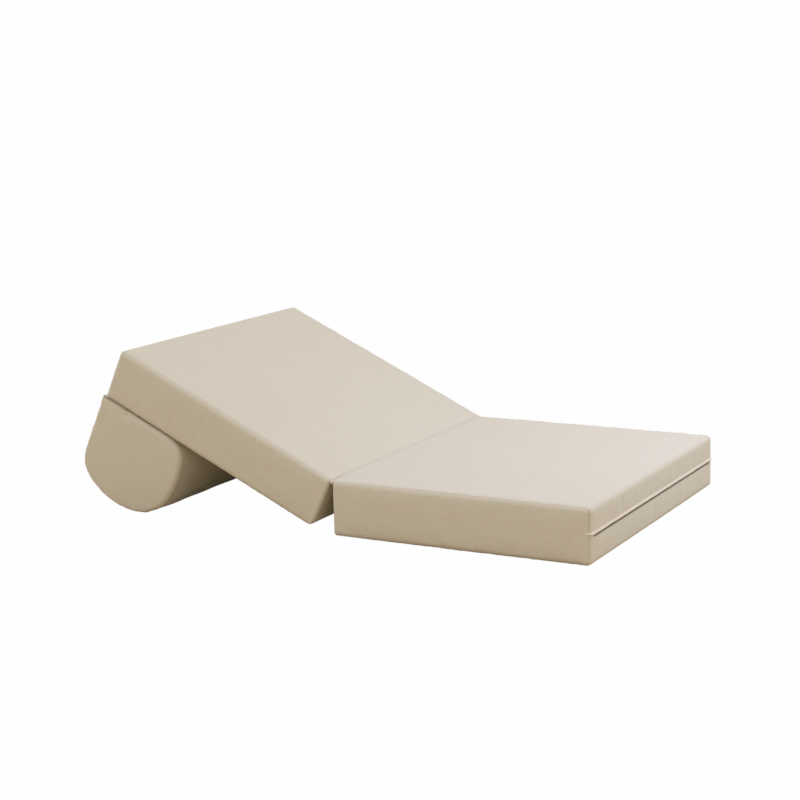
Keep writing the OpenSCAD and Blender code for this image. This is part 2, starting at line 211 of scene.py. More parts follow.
def settled(points, faces, hold, seam, slack, push, cap):
    """How far each point of a sewn cover moves when it is let go as cloth: panels cut larger
    than the foam by the share `slack`, seams drawn in, light pressure from inside, and springs
    of strength `hold` (per point, 0..1) to the foam. No gravity; no move is longer than cap."""
    grey = bpy.data.materials.new("let_go")
    piece = make("let_go", points, [faces], grey)
    for name, share in (("hold", hold), ("seam", seam)):
        group = piece.vertex_groups.new(name=name)
        level = np.round(share * LEVELS).astype(int)
        for k in np.unique(level):
            group.add(np.nonzero(level == k)[0].tolist(), k / LEVELS, "REPLACE")
    cloth = piece.modifiers.new("cloth", "CLOTH")
    s = cloth.settings
    s.quality, s.mass, s.air_damping = 3, 0.25, 2
    s.tension_stiffness = s.compression_stiffness = 12
    s.shear_stiffness, s.bending_stiffness = 4, 0.15
    s.vertex_group_mass, s.pin_stiffness = "hold", 1.0
    s.vertex_group_shrink, s.shrink_min, s.shrink_max = "seam", -slack, slack
    s.use_pressure, s.uniform_pressure_force = True, push
    s.effector_weights.gravity = 0
    cloth.point_cache.frame_start, cloth.point_cache.frame_end = 1, FRAMES
    scene = bpy.context.scene
    for f in range(1, FRAMES + 1):
        scene.frame_set(f)
    seen = piece.evaluated_get(bpy.context.evaluated_depsgraph_get()).to_mesh()
    moved = np.empty(len(points) * 3, np.float32)
    seen.vertices.foreach_get("co", moved)
    move = moved.reshape(-1, 3) - points
    size = np.linalg.norm(move, axis=1, keepdims=True)
    bpy.data.objects.remove(piece)
    bpy.data.materials.remove(grey)
    scene.frame_set(1)
    return move * (cap * np.tanh(size / cap) / np.maximum(size, 1e-9))


# ---- materials ----

def shader(name, colour, roughness, metallic=0.0, sheen=0.0):
    """A Principled material; its fixed values are set on its own sockets."""
    m = bpy.data.materials.new(name)
    m.use_nodes = True
    n = m.node_tree.nodes["Principled BSDF"]
    n.inputs["Base Color"].default_value = (*colour, 1)
    n.inputs["Roughness"].default_value = roughness
    n.inputs["Metallic"].default_value = metallic
    n.inputs["Sheen Weight"].default_value = sheen
    n.inputs["Sheen Roughness"].default_value = 0.5
    return m, m.node_tree.nodes, m.node_tree.links, n


def calc(nodes, links, op, a, b=None, c=None):
    """A Math node on sockets or numbers; gives its output socket."""
    n = nodes.new("ShaderNodeMath")
    n.operation = op
    for i, v in enumerate((a, b, c)):
        if v is None:
            continue
        if isinstance(v, (int, float)):
            n.inputs[i].default_value = v
        else:
            links.new(v, n.inputs[i])
    return n.outputs[0]


def noise(nodes, links, vector, scale, detail=3.0, rough=0.5):
    """Fractal noise of the vector: scale cells per metre, summed over detail octaves."""
    n = nodes.new("ShaderNodeTexNoise")
    n.inputs["Scale"].default_value = scale
    n.inputs["Detail"].default_value = detail
    n.inputs["Roughness"].default_value = rough
    links.new(vector, n.inputs["Vector"])
    return n.outputs["Fac"]


def stretch(nodes, links, vector, scale):
    """The vector with each of its parts multiplied by the scale's."""
    n = nodes.new("ShaderNodeMapping")
    n.inputs["Scale"].default_value = scale
    links.new(vector, n.inputs["Vector"])
    return n.outputs["Vector"]


def woven(name, colour, thread=0.0011, depth=0.0005, mottle=0.06, sheen=0.25, rough=0.9):
    """Plain-weave cloth read along the piece's own cloth map, in metres. Warp and weft each
    rise where sin(u) sin(v) is above or below nothing; slubs are long thin noise; the colour
    varies by broad mottling and by single threads."""
    m, nodes, links, bsdf = shader(name, colour, rough, sheen=sheen)
    uv = nodes.new("ShaderNodeUVMap")
    uv.uv_map = "cloth"
    split = nodes.new("ShaderNodeSeparateXYZ")
    links.new(uv.outputs["UV"], split.inputs[0])
    turn = math.pi / thread
    su = calc(nodes, links, "SINE", calc(nodes, links, "MULTIPLY", split.outputs[0], turn))
    sv = calc(nodes, links, "SINE", calc(nodes, links, "MULTIPLY", split.outputs[1], turn))
    over = calc(nodes, links, "ABSOLUTE", calc(nodes, links, "MULTIPLY", su, sv))
    weave = calc(nodes, links, "POWER", over, 0.5)
    slub_u = noise(nodes, links, stretch(nodes, links, uv.outputs["UV"], (40, 900, 1)), 1, 2)
    slub_v = noise(nodes, links, stretch(nodes, links, uv.outputs["UV"], (900, 40, 1)), 1, 2)
    slub = calc(nodes, links, "ADD", slub_u, slub_v)
    broad = noise(nodes, links, uv.outputs["UV"], 5, 4, 0.6)
    fuzz = noise(nodes, links, uv.outputs["UV"], 90, 3, 0.6)
    height = calc(nodes, links, "ADD", calc(nodes, links, "MULTIPLY", weave, 0.5),
                  calc(nodes, links, "MULTIPLY", slub, 0.6))
    height = calc(nodes, links, "ADD", height, calc(nodes, links, "MULTIPLY", fuzz, 0.9))
    bump = nodes.new("ShaderNodeBump")
    bump.inputs["Strength"].default_value = 0.6
    bump.inputs["Distance"].default_value = depth
    links.new(height, bump.inputs["Height"])
    links.new(bump.outputs["Normal"], bsdf.inputs["Normal"])
    shade = calc(nodes, links, "ADD",
                 calc(nodes, links, "MULTIPLY", calc(nodes, links, "SUBTRACT", broad, 0.5), mottle),
                 calc(nodes, links, "MULTIPLY", calc(nodes, links, "SUBTRACT", slub, 1.0), 0.10))
    shade = calc(nodes, links, "ADD", shade,
                 calc(nodes, links, "MULTIPLY", calc(nodes, links, "SUBTRACT", weave, 0.6), 0.05))
    value = calc(nodes, links, "ADD", shade, 1.0)
    hsv = nodes.new("ShaderNodeHueSaturation")
    hsv.inputs["Color"].default_value = (*colour, 1)
    links.new(value, hsv.inputs["Value"])
    links.new(hsv.outputs["Color"], bsdf.inputs["Base Color"])
    return m


def grained(name, colour, rough, metallic=0.0, scale=900, depth=0.0002, vary=0.15):
    """A surface with fine seeded grain in both its colour and its bump, on Object coordinates."""
    m, nodes, links, bsdf = shader(name, colour, rough, metallic)
    co = nodes.new("ShaderNodeTexCoord").outputs["Object"]
    grain = noise(nodes, links, co, scale, 4, 0.6)
    value = calc(nodes, links, "ADD", calc(nodes, links, "MULTIPLY", grain, vary), 1 - vary / 2)
    hsv = nodes.new("ShaderNodeHueSaturation")
    hsv.inputs["Color"].default_value = (*colour, 1)
    links.new(value, hsv.inputs["Value"])
    links.new(hsv.outputs["Color"], bsdf.inputs["Base Color"])
    bump = nodes.new("ShaderNodeBump")
    bump.inputs["Strength"].default_value = 0.5
    bump.inputs["Distance"].default_value = depth
    links.new(grain, bump.inputs["Height"])
    links.new(bump.outputs["Normal"], bsdf.inputs["Normal"])
    return m


BEIGE = (0.618, 0.570, 0.404)
cover_cloth = woven("cover_cloth", BEIGE)
# The zip lip is a fold of the cover cloth; its lighter colour is a painted highlight along the
# fold.
lip_cloth = woven("lip_cloth", (0.76, 0.695, 0.53))
hinge_cloth = woven("hinge_cloth", (0.60, 0.545, 0.395))
thread_mat = grained("sewing_thread", (0.62, 0.54, 0.43), 0.8, scale=3000)
tape_mat = grained("zip_tape_cloth", (0.33, 0.28, 0.21), 0.9, scale=1500, depth=0.0003)
teeth_mat = grained("zip_teeth_nylon", (0.17, 0.14, 0.10), 0.45, scale=2000)
metal_mat = grained("zip_metal", (0.52, 0.49, 0.43), 0.34, 1.0, scale=700, depth=0.0001)
foam_mat = grained("open_cell_foam", (0.86, 0.79, 0.52), 0.95, scale=500, depth=0.0015, vary=0.3)
fibre_mat = grained("fibre_wadding", (0.88, 0.88, 0.86), 0.95, scale=250, depth=0.002, vary=0.1)


# ---- covered sections ----

def rounded(a, b, a_edge, b_edge, r):
    """Rounds the corner of a box at (a_edge, b_edge) in one plane: inside the corner's square
    of side r a point keeps its direction from the arc's middle, and its distance is scaled
    by max(|da|, |db|) / length, so the square becomes a quarter disc."""
    sa, sb = math.copysign(1, a_edge), math.copysign(1, b_edge)
    da, db = sa * a - (abs(a_edge) - r), sb * b - (abs(b_edge) - r)
    inside = (da > 0) & (db > 0)
    size = np.hypot(da, db)
    k = np.where(inside, np.maximum(da, db) / np.maximum(size, 1e-9), 1.0)
    a2 = np.where(inside, sa * (abs(a_edge) - r + da * k), a)
    b2 = np.where(inside, sb * (abs(b_edge) - r + db * k), b)
    return a2, b2


def soften(p, half, inset, radii):
    """Rounds a box of half sizes `half`, centred on the origin. Towards the hinge (x < 0) edge
    by edge: first those along y (radii for hinge-low, hinge-high), then those along x, then
    the upright ones. Towards the free end every edge and corner is a ball's: the nearest
    point of the box smaller by r, plus r along the line from it."""
    x, y, z = p.T.copy()
    hx, hy, hz = half
    r = max(EDGE_R - inset, 0.004)
    for sz, q in zip((-1, 1), radii):
        x, z = rounded(x, z, -hx, sz * hz, max(q - inset, 0.003))
    for sy in (-1, 1):
        for sz in (-1, 1):
            y, z = rounded(y, z, sy * hy, sz * hz, r)
        x, y = rounded(x, y, -hx, sy * hy, r * 0.6)
    core = np.clip(p, r - np.array(half), np.array(half) - r)
    off = p - core
    ball = core + off * (r / np.maximum(np.linalg.norm(off, axis=1), 1e-9))[:, None]
    return np.where(p[:, :1] > 0, ball, np.stack([x, y, z], -1))


# How far a cover stands off its softened box, in metres
CROWN_TOP, CROWN_SIDE, CROWN_END = 0.0020, 0.0030, 0.0013
UNEVEN, WRINKLE, PUCKER, GATHER, SCALLOP = 0.0007, 0.00055, 0.0005, 0.0007, 0.0009
SEAM_WIDE, EDGE_SEAM, END_SEAM = 0.0018, 0.0008, 0.0012
# Wavelengths of the same features
UNEVEN_WAVES = [.50, .37, .29, .23, .19, .16, .13]
WRINKLE_WAVES = [.11, .083, .064, .052, .045, .038]
PUCKER_WAVES = [.021, .027, .034, .045, .017]
GATHER_WAVES = [.013, .017, .022, .029]
SCALLOP_WAVES = [.083, .097, .061, .19]
# Dents: distance from the hinge, then up the side or across the top, then width and depth
SIDE_DENTS = [(0.19, 0.115, 0.016, 0.0016), (0.235, 0.088, 0.013, 0.0012),
              (0.63, 0.120, 0.018, 0.0012)]
TOP_DENTS = [(0.36, 0.55, 0.020, 0.0012), (0.42, 0.41, 0.024, 0.0014),
             (0.62, 0.83, 0.026, 0.0012)]
STRAIGHT = 0.05     # spread of directions for waves that run one way only


def section_points(p, faces, half, seed, hinge_r, ease):
    """Cover points of one section: the softened box, let go as cloth, crowned a little between
    its seams, with seam grooves along its edges, puckers that die away from each seam, broad
    soft dents, and gathers above the zip. Everything but the cloth's own move is a height
    along the outward direction, and the heights add up."""
    hx, hy, hz = half
    x, y, z = p.T
    q = soften(p, half, 0.0, (hinge_r, CREASE_R))
    to_x, to_y, to_z = hx - np.abs(x), hy - np.abs(y), hz - np.abs(z)
    on_x, on_y, on_z = (to_x < 1e-6), (to_y < 1e-6), (to_z < 1e-6)
    free_end = on_x & (x > 0)
    n = np.stack([np.sign(x) * near_line(to_x, 0.012), np.sign(y) * near_line(to_y, 0.012),
                  np.sign(z) * near_line(to_z, 0.012)], -1)
    n /= np.maximum(np.linalg.norm(n, axis=1, keepdims=True), 1e-9)
    # crown: each side stands proud in its middle
    grow = np.zeros(len(p))
    grow += on_z * CROWN_TOP * fade(to_x, 0.10) * fade(to_y, 0.10)
    grow += on_y * CROWN_SIDE * fade(to_x, 0.05) * fade(to_z, 0.05)
    grow += on_x * CROWN_END * fade(to_y, 0.06) * fade(to_z, 0.04) * (x > 0)
    # broad soft unevenness of the foam under the cloth
    flat_a = np.where(on_x & ~on_y, y, x)
    flat_b = np.where(on_y | on_x, z, y)
    inner = fade(np.where(on_z, np.minimum(to_x, to_y),
                          np.where(on_y, np.minimum(to_x, to_z), np.minimum(to_y, to_z))), 0.03)
    grow += UNEVEN * inner * ripple(flat_a, flat_b, seed, UNEVEN_WAVES)
    # wrinkles on the upright sides, running mostly up and down
    side = (on_y | free_end) * inner
    grow += WRINKLE * side * ripple(flat_a, flat_b, seed + 1, WRINKLE_WAVES, 0.0, 0.35)
    # puckers where the cloth is gathered at the side panels' seams
    along = np.where(to_y < 0.05, x, y)
    seam = np.minimum(np.hypot(to_y, np.minimum(to_z, to_x)), 1)
    grow += PUCKER * near_line(seam, 0.03) * ripple(along, 0 * along, seed + 2, PUCKER_WAVES,
                                                    0.0, 0.1)
    # sewn seams along the long edges and the upright corners, the near free one drawn in most
    edge_seam = near_line(to_y + to_z, SEAM_WIDE)
    end_seam = near_line(to_y + to_x, SEAM_WIDE)
    drawn = 1 + 2.2 * (x > 0) * (y < 0) * np.clip((z + 0.004) / 0.012, 0, 1)
    grow -= np.maximum(EDGE_SEAM * edge_seam, END_SEAM * drawn * end_seam)
    # small dents where the foam gives under the near side and the top
    for out, up, wide, deep in SIDE_DENTS:
        grow -= deep * near_line(np.hypot(x + hx - out, z + hz - up), wide) * (on_y & (y < 0))
    for out, over, wide, deep in TOP_DENTS:
        grow -= deep * near_line(np.hypot(x + hx - out, y + hy - over), wide) * \
            (on_z & (z > 0))
    # the end face is drawn in along the zip
    at_zip = free_end * near_line(z, 0.026)
    grow *= 1 - at_zip
    # fine gathers above the zip, strongest near one end of it
    gather = free_end * near_line(z - 0.040, 0.026) * (0.35 + 0.65 * near_line(y + 0.36, 0.16))
    grow += GATHER * gather * ripple(y, 0 * y, seed + 3, GATHER_WAVES, 0.0, STRAIGHT)
    # the far long edge is eased in, which leaves shallow scallops 6 to 10 cm apart
    far_edge = near_line(to_y, 0.03) * near_line(to_z, 0.05) * (y > 0) * ease * 2
    grow += SCALLOP * far_edge * ripple(x, 0 * x, seed + 4, SCALLOP_WAVES, 0.0, STRAIGHT)
    # how firmly the foam holds the cloth, and how much each seam draws it in
    seam_share = np.maximum(near_line(to_y, 0.010) * near_line(to_z, 0.010),
                            near_line(to_y, 0.010) * near_line(to_x, 0.010))
    hold = 0.10 + 0.35 * near_line(x + hx, 0.03) + 0.25 * fade(np.minimum(to_x, to_y), 0.10) * on_z
    free = settled(q, faces, np.clip(hold, 0, 1), np.clip(seam_share, 0, 1), SLACK, PUSH, CAP)
    still = np.maximum(np.maximum(near_line(x + hx, 0.02), at_zip), 0.6 * on_x)
    free *= ease * (1 - still)[:, None]
    return q + free + n * grow[:, None]


def side_uv(p, faces, side):
    """Cloth coordinates per face corner: x and y on the flat sides, x and z on the long
    upright ones, y and z on the ends."""
    c = p[faces]
    u = np.where((side < 2)[:, None], c[..., 1], c[..., 0])
    v = np.where((side < 4)[:, None], c[..., 2], c[..., 1])
    return np.stack([u, v], -1).reshape(-1, 2)


# The zips' slots: half the height, the depth, and the grid lines that give them their edges
ZIP_HALF = 0.006
SLOT_DEPTH = 0.0062
SLOT_LINES = [-ZIP_HALF - 0.0012, -ZIP_HALF, -ZIP_HALF + 0.0004,
              ZIP_HALF - 0.0004, ZIP_HALF, ZIP_HALF + 0.0012]
ZIP_ENDS = [-ZIP_L / 2 - 0.0005, -ZIP_L / 2, ZIP_L / 2, ZIP_L / 2 + 0.0005]
ZIP_V = 0.145       # the bolster's zip, down from its flat side
# Steps of the covers' grids: along the faces, up the sides, and the fine ones near the edges
SKIN_STEP, SKIN_RISE, SKIN_EDGE, SKIN_FINE = 0.0085, 0.008, 0.024, 0.003


def with_lines(stops, *lines):
    """Grid stops with further lines put in, each taking the place of stops closer than 1 mm."""
    lines = np.array(lines)
    keep = np.abs(stops[:, None] - lines[None]).min(1) > 0.0012
    return np.sort(np.concatenate([stops[keep], lines]))


def beside(h):
    """Stops just inside both ends of a side of half length h, which carry the sewn seams."""
    return [way * (h - d) for d in (0.0013, 0.0027) for way in (-1, 1)]


def section_cover(name, seed):
    """One section's cover as a closed skin, with the zip's slot pressed into its free end."""
    place, mirrored = SECTIONS[name]
    half = np.array([BODY_L / 2, WIDTH / 2, THICK / 2])
    stops = [spaced(-h, h, step, SKIN_EDGE, SKIN_FINE)
             for h, step in zip(half, (SKIN_STEP, SKIN_STEP, SKIN_RISE))]
    xs = with_lines(stops[0], *beside(half[0]))
    ys = with_lines(stops[1], *beside(half[1]), *ZIP_ENDS)
    zs = with_lines(stops[2], *beside(half[2]), *SLOT_LINES)
    p, faces, side = box_skin(xs, ys, zs)
    out = section_points(p, faces, half, seed, HINGE_R[name], EASE[name])
    in_slot = (p[:, 0] > half[0] - 1e-6) & (np.abs(p[:, 2]) < ZIP_HALF - 0.0003) & \
        (np.abs(p[:, 1]) < ZIP_L / 2 + 1e-6)
    out[in_slot, 0] = half[0] - SLOT_DEPTH
    local = out + np.array([half[0], 0, half[2]])
    if name == "seat":                              # it lies on the floor
        local[:, 2] = np.maximum(local[:, 2], 0)
    uv = side_uv(p, faces, side)
    turned = faces[:, ::-1] if mirrored else faces
    if mirrored:
        uv = uv.reshape(-1, 4, 2)[:, ::-1].reshape(-1, 2)
    piece = make(f"{name}_cover", place(local), [turned], cover_cloth, uv)
    parts = ["top", "bottom", "near_side", "far_side", "hinge_end", "end_upper", "end_lower"]
    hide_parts(*[f"{name}_cover_{q}" for q in parts])
    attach(piece, name)
    return piece


def section_inside(name, layer, inset, material, node):
    """A layer under the cover: the same softened box, by inset smaller all round."""
    place, mirrored = SECTIONS[name]
    half = np.array([BODY_L / 2, WIDTH / 2, THICK / 2]) - inset
    p, faces, _ = box_skin(*[spaced(-h, h, 0.05, 0.040, 0.006) for h in half])
    out = soften(p, half, inset, (HINGE_R[name], 0.012))
    out[:, 2] += 0.0006 * ripple(p[:, 0], p[:, 1], 5, [.2, .13, .09, .07])
    local = out + np.array([BODY_L / 2, 0, THICK / 2])
    piece = make(f"{name}_{layer}", place(local), [faces[:, ::-1] if mirrored else faces],
                 material)
    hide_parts(node)
    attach(piece, name)


for section, seed in (("seat", 11), ("back", 47)):      # each cover has its own wrinkles
    section_cover(section, seed)
    section_inside(section, "wadding_wrap", 0.0080, fibre_mat, f"{section}_wadding")
    section_inside(section, "foam_block", 0.0125, foam_mat, f"{section}_foam_core")


# ---- bolster ----

BOLSTER_HALF = -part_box("bolster_cover_near_end")[0][1]     # half its width
OVERHANG = 0.011        # how far it stands out behind the back section's end
GAP = 0.005             # from the back section's underside to its flat side
BOLSTER_RIM = 0.016     # radius of the rims round its two ends
END_RINGS = 26          # rings over each flat end, from the middle out
RIM_RINGS = 8           # rings round each rim
MIDDLE = np.array([0.197, 0.176])       # where the ends' rings start
DENT, DENT_WIDE, DENT_DEEP = (0.122, 0.014), 0.014, 0.009    # at the near end, where it tucks in
# The bolster's outline as it bulges, in mm: forward from its rear side, down from its flat side.
BOLSTER_STOPS = np.array([
    [0, 0], [25, 0], [60, 0], [130, 0], [200, 0], [265, 0], [310, 1], [344, 6], [362, 14],
    [379, 25], [391, 41], [400, 63], [406, 89], [409, 118], [409, 147], [405, 198], [398, 231],
    [386, 263], [361, 294], [322, 325], [283, 343], [238, 354], [194, 358], [146, 353],
    [99, 341], [57, 321], [25, 297], [8, 267], [0, 232], [0, 195], [0, 160], [0, 110], [0, 60],
    [0, 25]]) / 1000


def bolster_outline(count, inset, lines=()):
    """The loop through the stops by Catmull-Rom pieces, spread evenly by arc length and
    smoothed over about 9 mm; `lines` are further places down the rear side. Returns points,
    outward directions and arc lengths."""
    p = BOLSTER_STOPS
    a, b, c, d = (np.roll(p, k, 0)[:, None] for k in (1, 0, -1, -2))
    t = np.linspace(0, 1, 24, endpoint=False)[None, :, None]
    loop = 0.5 * (2 * b + (c - a) * t + (2 * a - 5 * b + 4 * c - d) * t ** 2
                  + (3 * b - a - 3 * c + d) * t ** 3)
    loop = loop.reshape(-1, 2)
    loop = np.concatenate([loop, loop[:1]])
    length = np.concatenate([[0], np.cumsum(np.linalg.norm(np.diff(loop, axis=0), axis=1))])
    fine = np.linspace(0, length[-1], 1440, endpoint=False)
    out = np.stack([np.interp(fine, length, loop[:, i]) for i in (0, 1)], -1)
    for _ in range(60):
        out = 0.25 * np.roll(out, 1, 0) + 0.5 * out + 0.25 * np.roll(out, -1, 0)
    way = np.roll(out, -1, 0) - np.roll(out, 1, 0)
    way /= np.linalg.norm(way, axis=1, keepdims=True)
    way = np.stack([way[:, 1], -way[:, 0]], -1)
    out = out - way * inset
    stops = np.linspace(0, length[-1], count, endpoint=False)
    rear = (out[:, 0] < 0.02) & (fine > length[-1] / 2)
    if lines:
        stops = with_lines(stops, *np.interp(lines, out[rear, 1][::-1], fine[rear][::-1]))
    pick = lambda q: np.stack([np.interp(stops, fine, q[:, i]) for i in (0, 1)], -1)
    return pick(out), pick(way), stops


def bolster_place(u, v, y):
    """(U, V, y) to the row frame, through the back section's frame."""
    return back_place(np.stack([BODY_L + OVERHANG - u, y, -GAP - v], -1))


def press(p, inset):
    """Keeps points above the floor, where the bolster is pressed flat."""
    p[..., 2] = np.maximum(p[..., 2], inset)
    return p


def bolster_skin(inset, around, step, detail):
    """The bolster as one closed skin: rings of its outline from the middle of the near end,
    over its rounded rim, along the roll and in to the middle of the far end. With detail the
    ends are crowned and dented, the roll is rippled away from its flat side, puckered towards
    the ends and grooved at the rims, and the zip's slot is pressed in."""
    lines = [ZIP_V + k for k in SLOT_LINES] if detail else []
    loop, way, arc = bolster_outline(around, inset, lines)
    around = len(arc)
    half = BOLSTER_HALF - inset
    rim = BOLSTER_RIM
    turn = np.linspace(0, math.pi / 2, RIM_RINGS)
    ends_in = np.linspace(0.02, 1, END_RINGS, endpoint=False)
    ys = spaced(-half + rim, half - rim, step, 0.02, 0.005)[1:-1]
    if detail:
        ys = with_lines(ys, *ZIP_ENDS)
    # each ring: share of the flat end (0..1), how far the rim has drawn it in, and y
    grow = np.concatenate([ends_in, np.ones(len(turn) * 2 + len(ys)), ends_in[::-1]])
    back_in = np.concatenate([np.full(END_RINGS, rim), rim * (1 - np.sin(turn)),
                              np.zeros(len(ys)), rim * (1 - np.sin(turn[::-1])),
                              np.full(END_RINGS, rim)])
    y = np.concatenate([np.full(END_RINGS, -half), -half + rim * (1 - np.cos(turn)), ys,
                        half - rim * (1 - np.cos(turn[::-1])), np.full(END_RINGS, half)])
    reach = np.linalg.norm(loop - MIDDLE, axis=1)[None, :, None]
    edge = MIDDLE + (loop - MIDDLE)[None] * (1 - back_in[:, None, None] / reach)
    uv = MIDDLE + (edge - MIDDLE) * grow[:, None, None]
    u, v = uv[..., 0], uv[..., 1]
    yy = np.repeat(y[:, None], around, 1)
    if detail:
        end = (grow < 1)[:, None] * np.sign(y)[:, None]
        crown = 0.006 * (1 - (grow ** 2)[:, None]) ** 0.8
        yy = yy + end * (crown + 0.0003 * ripple(u, v, 7, [.16, .12, .09, .07, .055]))
        dent = np.hypot(u - DENT[0], (v - DENT[1]) * 1.6)
        yy = yy + DENT_DEEP * near_line(dent, DENT_WIDE) * (yy < -half + rim)
        body = (grow >= 1)[:, None] & (np.abs(yy) < half)
        flat = np.exp(-np.maximum(v, 0) / 0.02)
        lift = 0.0007 * ripple(arc[None] + 0 * yy, yy, 8, [.42, .31, .24, .19, .15, .12])
        lift += 0.0007 * ripple(arc[None] + 0 * yy, yy, 9, [.09, .07, .055, .043], 0.0, 0.3)
        to_end = half - np.abs(yy)
        lift += 0.0004 * near_line(to_end, 0.035) * ripple(arc[None] + 0 * yy, 0 * yy, 10,
                                                          [.024, .031, .041, .055], 0.0, 0.1)
        lift -= 0.0016 * near_line(to_end - 0.006, 0.0035)
        at_zip = near_line(v - ZIP_V, 0.030) * (u < 0.03)
        lift = np.where(body, lift * (1 - 0.7 * flat) * (1 - at_zip), 0)
        u, v = u + way[None, :, 0] * lift, v + way[None, :, 1] * lift
        slot = body & (np.abs(v - ZIP_V) < ZIP_HALF - 0.0003) & (u < 0.03) & \
            (np.abs(yy) < ZIP_L / 2 + 1e-6)
        u = np.where(slot, SLOT_DEPTH, u)
    return press(bolster_place(u, v, yy), inset), arc, y


def bolster_piece(name, inset, around, step, material, detail):
    """The bolster's skin, moved in by inset, as an object with its cloth map."""
    rings, arc, y = bolster_skin(inset, around, step, detail)
    points, faces = swept(rings)
    faces = outward(points, faces)
    n = len(rings)
    # cloth coordinates: arc length and y on the roll, the flat plane's own on the two ends
    local_x, local_z = rings[..., 0], rings[..., 2]
    ring = np.arange(n)
    on_end = np.minimum(ring, n - 1 - ring) < END_RINGS + RIM_RINGS // 2
    u = np.where(on_end[:, None], local_x, arc[None] + 0 * local_x)
    v = np.where(on_end[:, None], local_z, y[:, None] + 0 * local_z)
    uv = np.stack([u, v], -1).reshape(-1, 2)
    uv = np.concatenate([uv, [[rings[0, :, 0].mean(), rings[0, :, 2].mean()],
                              [rings[-1, :, 0].mean(), rings[-1, :, 2].mean()]]])
    return make(name, points, faces, material, uv)


bolster = bolster_piece("bolster_cover", 0.0, 220, 0.009, cover_cloth, True)
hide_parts("bolster_cover_roll", "bolster_cover_flat", "bolster_cover_rear_upper",
            "bolster_cover_rear_lower", "bolster_cover_near_end", "bolster_cover_far_end")
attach(bolster, "bolster")
wrap = bolster_piece("bolster_wadding_wrap", 0.009, 90, 0.05, fibre_mat, False)
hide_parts("bolster_wadding")
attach(wrap, "bolster")
core = bolster_piece("bolster_foam_block", 0.016, 90, 0.05, foam_mat, False)
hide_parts("bolster_foam_core")
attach(core, "bolster")

# ---- fabric hinges ----

def ribbon(path, wide, hem, step, places, thick):
    """A strip of cloth: its cross-section path (n, 2) is carried along y from -wide to wide,
    doubled at half its thickness to each side and closed. `places(x, z, y)` puts it. hem gives
    how far each point lifts off its path near the two ends. Cloth map: path length and y."""
    along = np.gradient(path, axis=0)
    along /= np.linalg.norm(along, axis=1, keepdims=True)
    side = np.stack([-along[:, 1], along[:, 0]], -1) * thick / 2
    loop = np.concatenate([path + side, (path - side)[::-1]])
    length = np.concatenate([[0], np.cumsum(np.linalg.norm(np.diff(path, axis=0), axis=1))])
    round_ = np.concatenate([length, length[::-1] + length[-1]])
    ys = spaced(-wide, wide, step, 0.03, 0.004)
    x = np.repeat(loop[None, :, 0], len(ys), 0)
    z = np.repeat(loop[None, :, 1], len(ys), 0)
    y = np.repeat(ys[:, None], len(loop), 1)
    dx, dz = hem(x, z, y)
    rings = places(x + dx, z + dz, y)
    points, faces = swept(rings, closed=False)
    m = len(loop)
    i = np.arange(len(path) - 1)
    end = np.stack([i, i + 1, m - 2 - i, m - 1 - i], -1)
    faces += [end, end[:, ::-1] + (len(ys) - 1) * m]
    uv = np.stack([np.repeat(round_[None], len(ys), 0), y], -1).reshape(-1, 2)
    return points, outward(points, faces), uv


def smooth_path(stops, count):
    """Catmull-Rom path through the stops, evenly spaced by length."""
    p = np.array(stops, float)
    p = np.concatenate([[2 * p[0] - p[1]], p, [2 * p[-1] - p[-2]]])
    t = np.linspace(0, 1, 16, endpoint=False)[None, :, None]
    a, b, c, d = (p[k:len(p) - 3 + k][:, None] for k in range(4))
    q = 0.5 * (2 * b + (c - a) * t + (2 * a - 5 * b + 4 * c - d) * t ** 2
               + (3 * b - a - 3 * c + d) * t ** 3)
    q = np.concatenate([q.reshape(-1, 2), p[-2:-1]])
    length = np.concatenate([[0], np.cumsum(np.linalg.norm(np.diff(q, axis=0), axis=1))])
    stops = np.linspace(0, length[-1], count)
    return np.stack([np.interp(stops, length, q[:, i]) for i in (0, 1)], -1)


def crease_fabric():
    """The web between seat and back: from the rounded crease edge of the seat it dips in a
    shallow valley and climbs on to the edge of the back. Below, it is sewn to both faces."""
    c, s = math.cos(recline), math.sin(recline)
    edge = [(0.0088, -0.0037), (0.0066, -0.0039), (0.0046, -0.0046), (0.0026, -0.0053)]
    low = 0.0056
    mirror = [(-x * c + z * s, x * s + z * c) for x, z in edge[::-1]]
    path = smooth_path(edge + [(-low * math.sin(recline / 2), -low * math.cos(recline / 2))]
                       + mirror, 23)

    def places(x, z, y):
        """A point given from the fold line, in the row frame."""
        return np.stack([fold[0] + x, y, fold[2] + z], -1)

    def hem(x, z, y):
        """Small waves all along; it drops round the sections' corners, and its middle hangs
        a little slack towards the near end."""
        end = np.clip((np.abs(y) - (WIDTH / 2 - 0.020)) / 0.020, 0, 1)
        drop = 0.011 * end ** 2
        slack = 0.0030 * np.clip((-y - 0.44) / 0.12, 0, 1)
        wave = 0.00025 * ripple(y, 0 * y, 61, [.031, .045, .062, .09], 0.0, 0.05)
        inner = np.clip((0.0042 - np.abs(x + 0.0012)) / 0.002, 0, 1)
        return np.zeros_like(wave), wave - drop - slack * inner

    points, faces, uv = ribbon(path, WIDTH / 2 - 0.004, hem, 0.010, places, 0.0009)
    piece = make("crease_fabric", points, faces, hinge_cloth, uv)
    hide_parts("crease_leaf_seat", "crease_leaf_back", "crease_seam_bead")
    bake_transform(piece)
    return piece


